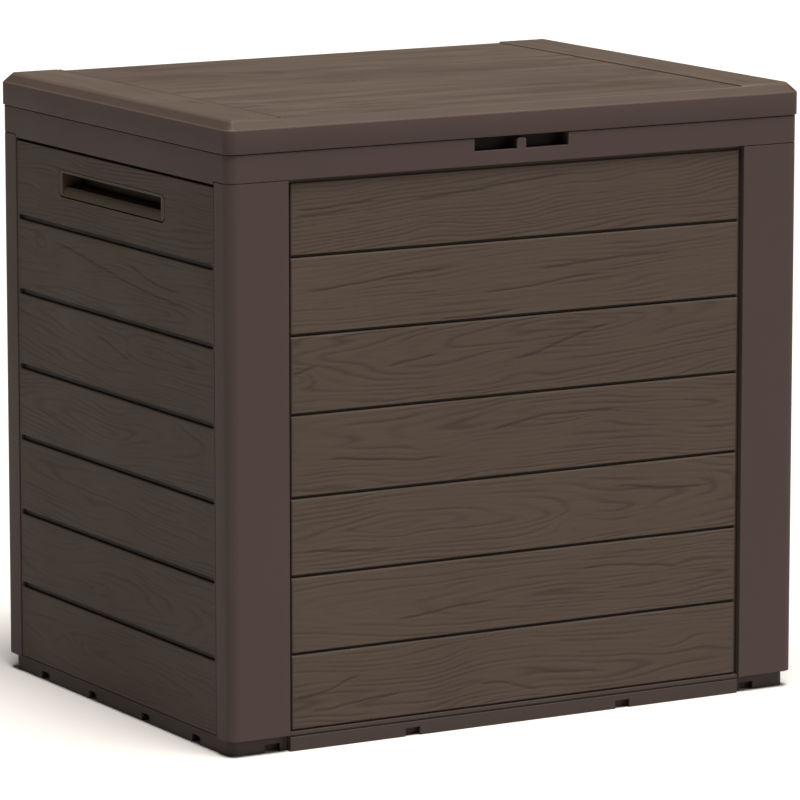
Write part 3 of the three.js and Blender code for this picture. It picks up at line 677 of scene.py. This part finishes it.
def plastic(name, colour, fibre=None, pebble=0.10, swing=0.035, rim=None):
    """Moulded plastic, with the wood look where fibre is given.

    swing is how far "board" changes the brightness, and rim is the colour where the attribute "rim" is 1.
    """
    made = material(name)
    tree = made.node_tree
    out = tree.nodes.new("ShaderNodeOutputMaterial")
    shader = tree.nodes.new("ShaderNodeBsdfPrincipled")
    shader.inputs["Specular IOR Level"].default_value = PLASTIC_SPECULAR
    link(tree, shader.outputs["BSDF"], out.inputs["Surface"])
    coords = tree.nodes.new("ShaderNodeTexCoord").outputs["Object"]
    cloud = noise_node(tree, coords, (9, 9, 9), 4)
    speck = noise_node(tree, coords, (1500, 1500, 1500), 2)
    # Painted shade: the attribute "recess" darkens the colour inside the top frame's finger notch.
    depth = ranged(tree, attribute(tree, "recess"), 1.0, 0.2, 0.0, 1.0)
    factors = [ranged(tree, cloud, 0.95, 1.05), ranged(tree, speck, 0.97, 1.03), depth]
    height = speck
    if fibre:
        strand = noise_node(tree, coords, fibre, 3, 0.6)
        factors.append(ranged(tree, strand, 0.93, 1.07))
        height = strand
        factors.append(ranged(tree, attribute(tree, "grain"), 1.05, 0.66, 0.0, 1.2))
        # "board" sets each board's tint, and on the lid the streaks and a painted highlight line.
        factors.append(ranged(tree, attribute(tree, "board"), 1 - swing, 1 + swing, -1.0, 1.0))
        # Painted shade: "groove" darkens the panels' grooves, the lid's chamfers and a line along the lid's
        # left joint.
        factors.append(ranged(tree, attribute(tree, "groove"), 1.0, 0.35, 0.0, 1.0))
    paint = tinted(tree, colour, product(tree, *factors))
    if rim:
        blend = tree.nodes.new("ShaderNodeMix")
        blend.data_type = "RGBA"
        link(tree, attribute(tree, "rim"), blend.inputs["Factor"])
        link(tree, paint, blend.inputs["A"])
        link(tree, tinted(tree, rim, product(tree, *factors[:3])), blend.inputs["B"])
        paint = blend.outputs["Result"]
    link(tree, paint, shader.inputs["Base Color"])
    link(tree, ranged(tree, cloud, *PLASTIC_ROUGHNESS), shader.inputs["Roughness"])
    bump = tree.nodes.new("ShaderNodeBump")
    bump.inputs["Strength"].default_value = pebble
    bump.inputs["Distance"].default_value = 0.0002
    link(tree, height, bump.inputs["Height"])
    link(tree, bump.outputs["Normal"], shader.inputs["Normal"])
    return made


def zinc(name):
    """Dull zinc plating with a fine cloudy spangle."""
    made = material(name)
    tree = made.node_tree
    out = tree.nodes.new("ShaderNodeOutputMaterial")
    shader = tree.nodes.new("ShaderNodeBsdfPrincipled")
    shader.inputs["Metallic"].default_value = 1.0
    link(tree, shader.outputs["BSDF"], out.inputs["Surface"])
    coords = tree.nodes.new("ShaderNodeTexCoord").outputs["Object"]
    cloud = noise_node(tree, coords, (300, 300, 300), 3)
    link(tree, tinted(tree, (0.56, 0.57, 0.58), ranged(tree, cloud, 0.85, 1.1)), shader.inputs["Base Color"])
    link(tree, ranged(tree, cloud, 0.28, 0.48), shader.inputs["Roughness"])
    return made


SMOOTH = (0.0515, 0.0355, 0.0315)
FRONT_PLANK = (0.0575, 0.041, 0.0315)
# The side planks: the front planks' plastic, darker and warmer as painted shade.
SIDE_PLANK_PAINTED_SHADE = (0.043, 0.0300, 0.0210)
# The grips: the posts' plastic with a warmer tint painted in as side-wall shade.
GRIP_PAINTED_SHADE = (0.050, 0.036, 0.026)
TOP = (0.074, 0.0530, 0.0410)
TRAY = (0.044, 0.0315, 0.0265)

smooth_material = plastic("smooth_moulded_plastic", SMOOTH)
front_material = plastic("wood_look_along_x", FRONT_PLANK, fibre=(26, 26, 900), pebble=0.35)
side_plank_painted_shade_material = plastic("wood_look_along_y_painted_shade", SIDE_PLANK_PAINTED_SHADE, fibre=(26, 26, 900), pebble=0.35)
lid_material = plastic("lid_wood_look", TOP, fibre=(26, 700, 700), pebble=0.2, swing=0.17, rim=SMOOTH)
tray_material = plastic("tray_moulded_plastic", TRAY)
grip_painted_shade_material = plastic("grip_plastic_painted_shade", GRIP_PAINTED_SHADE)
steel_material = zinc("zinc_plated_steel")


# ---- Pieces ----

# The finger notch's inside, where shade is painted into the colour: its half width, its ends along y and its
# floor.
NOTCH_HALF_WIDTH = 46.4
NOTCH_FRONT_Y = -206.8
NOTCH_BACK_Y = -190
NOTCH_LOW = 489.8

# Cross recesses in the screw heads.
RECESS_DEPTH = 1.3
RECESS_PAST_HEAD = 1
RECESS_WIDE = 2.3
RECESS_NARROW = 0.55


def top_frame():
    piece = from_bmesh("top_frame_soft", soften(merged("top_frame"), 0.6))
    p = points_of(piece.data)
    across = np.abs(p[:, 0]) < NOTCH_HALF_WIDTH
    deep = (p[:, 1] > NOTCH_FRONT_Y) & (p[:, 1] < NOTCH_BACK_Y)
    inside = across & deep & (p[:, 2] > NOTCH_LOW)
    # Painted shade: marks the finger notch's inside, which the colour darkens.
    write_attribute(piece.data, "recess", np.where(inside, 1.0, 0.0))
    return shade(piece)


def base_tray():
    piece = from_bmesh("base_tray_soft", soften(merged("base_tray"), 0.5))
    for side in (-1, 1):
        boolean(piece, strip_groove(f"strip_groove_{side + 1}", side), "DIFFERENCE")
    return shade(piece)


def screw(node, end):
    """A screw whose head, at its base end or its frame end, has a cross recess."""
    low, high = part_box(node)
    piece = from_bmesh(node + "_soft", soften(merged(node), 0.35, least_angle=40))
    x, y = [(low[i] + high[i]) / 2 / MM for i in range(2)]
    if end == "base":
        head = low[2] / MM
        bottom, top = head - RECESS_PAST_HEAD, head + RECESS_DEPTH
    else:
        head = high[2] / MM
        bottom, top = head - RECESS_DEPTH, head + RECESS_PAST_HEAD
    for wide, deep in ((RECESS_NARROW, RECESS_WIDE), (RECESS_WIDE, RECESS_NARROW)):
        cutter = block(node + "_recess", (x - wide, y - deep, bottom), (x + wide, y + deep, top))
        boolean(piece, cutter, "DIFFERENCE")
    return shade(piece, 45)


for wall in ("front", "back", "left", "right"):
    # The side walls get the planks' plastic darkened as painted shade.
    look = front_material if wall in ("front", "back") else side_plank_painted_shade_material
    outfit(plank_panel(wall), "box", "plank_plastic", look, PANELS[wall]["node"])

for node in ("front_left_post", "front_right_post", "rear_left_post", "rear_right_post"):
    piece = from_bmesh(node + "_soft", soften(merged(node), 0.7))
    outfit(shade(piece), "box", "smooth_plastic", smooth_material, node)

# The grips get the posts' plastic with a painted shade tint.
for node in ("left_grip", "right_grip"):
    piece = from_bmesh(node + "_soft", soften(merged(node), 0.4))
    outfit(shade(piece), "box", "smooth_plastic", grip_painted_shade_material, node)

outfit(top_frame(), "box", "smooth_plastic", smooth_material, "top_frame")
outfit(base_tray(), "box", "tray_plastic", tray_material, "base_tray")
outfit(lid(), "lid", "lid_plastic", lid_material, "lid_shell")

for node in ("left_hinge_pin", "right_hinge_pin"):
    piece = from_bmesh(node + "_soft", soften(merged(node), 0.3))
    outfit(shade(piece, 45), "box", "steel", steel_material, node)

for corner in ("front_left", "front_right", "rear_left", "rear_right"):
    for end in ("base", "frame"):
        node = f"{corner}_{end}_screw"
        outfit(screw(node, end), "box", "steel", steel_material, node)


# ---- Floor, light and camera ----

FLOOR_HALF = 30000
FLOOR_THICKNESS = 20
FLOOR_COLOUR = (0.53, 0.50, 0.465, 1)


def pale_floor():
    made = material("pale_floor")
    tree = made.node_tree
    out = tree.nodes.new("ShaderNodeOutputMaterial")
    shader = tree.nodes.new("ShaderNodeBsdfPrincipled")
    shader.inputs["Base Color"].default_value = FLOOR_COLOUR
    shader.inputs["Roughness"].default_value = 0.9
    shader.inputs["Specular IOR Level"].default_value = 0.1
    link(tree, shader.outputs["BSDF"], out.inputs["Surface"])
    return made


floor = block("floor", (-FLOOR_HALF, -FLOOR_HALF, -FLOOR_THICKNESS), (FLOOR_HALF, FLOOR_HALF, 0))
floor.data.materials.append(pale_floor())

world = bpy.data.worlds.new("studio")
world.use_nodes = True
background = world.node_tree.nodes["Background"]
background.inputs["Color"].default_value = (1, 1, 1, 1)
background.inputs["Strength"].default_value = 0.10
bpy.context.scene.world = world

# Each light's strength, its width in degrees and the way it shines.
for name, energy, width, direction in (
    ("overhead_softbox", 7.0, 30, (0.0, 0.25, -1.0)),
    ("front_fill", 1.0, 40, (-0.70, 0.70, -0.22)),
):
    light_data = bpy.data.lights.new(name, "SUN")
    light_data.energy = energy
    light_data.angle = math.radians(width)
    light = new_object(name, light_data)
    light.rotation_mode = "QUATERNION"
    light.rotation_quaternion = Vector(direction).to_track_quat("-Z", "Y")

# The camera stands to the left of the front, looks down a little and has a long lens.
CAMERA_PLACE = (-2.44014, -4.21115, 1.08440)
CAMERA_YAW = 30.1216
CAMERA_PITCH = 9.7689
CAMERA_LENS = 254.578

camera_data = bpy.data.cameras.new("camera")
camera_data.lens = CAMERA_LENS
camera_data.sensor_width = 36.0
camera_data.clip_end = 200.0
camera = new_object("camera", camera_data)
camera.location = CAMERA_PLACE
yaw = math.radians(CAMERA_YAW)
pitch = math.radians(CAMERA_PITCH)
aim = Vector((math.sin(yaw) * math.cos(pitch), math.cos(yaw) * math.cos(pitch), -math.sin(pitch)))
camera.rotation_mode = "QUATERNION"
camera.rotation_quaternion = aim.to_track_quat("-Z", "Y")
bpy.context.scene.camera = camera
bpy.context.scene.view_settings.view_transform = "Standard"
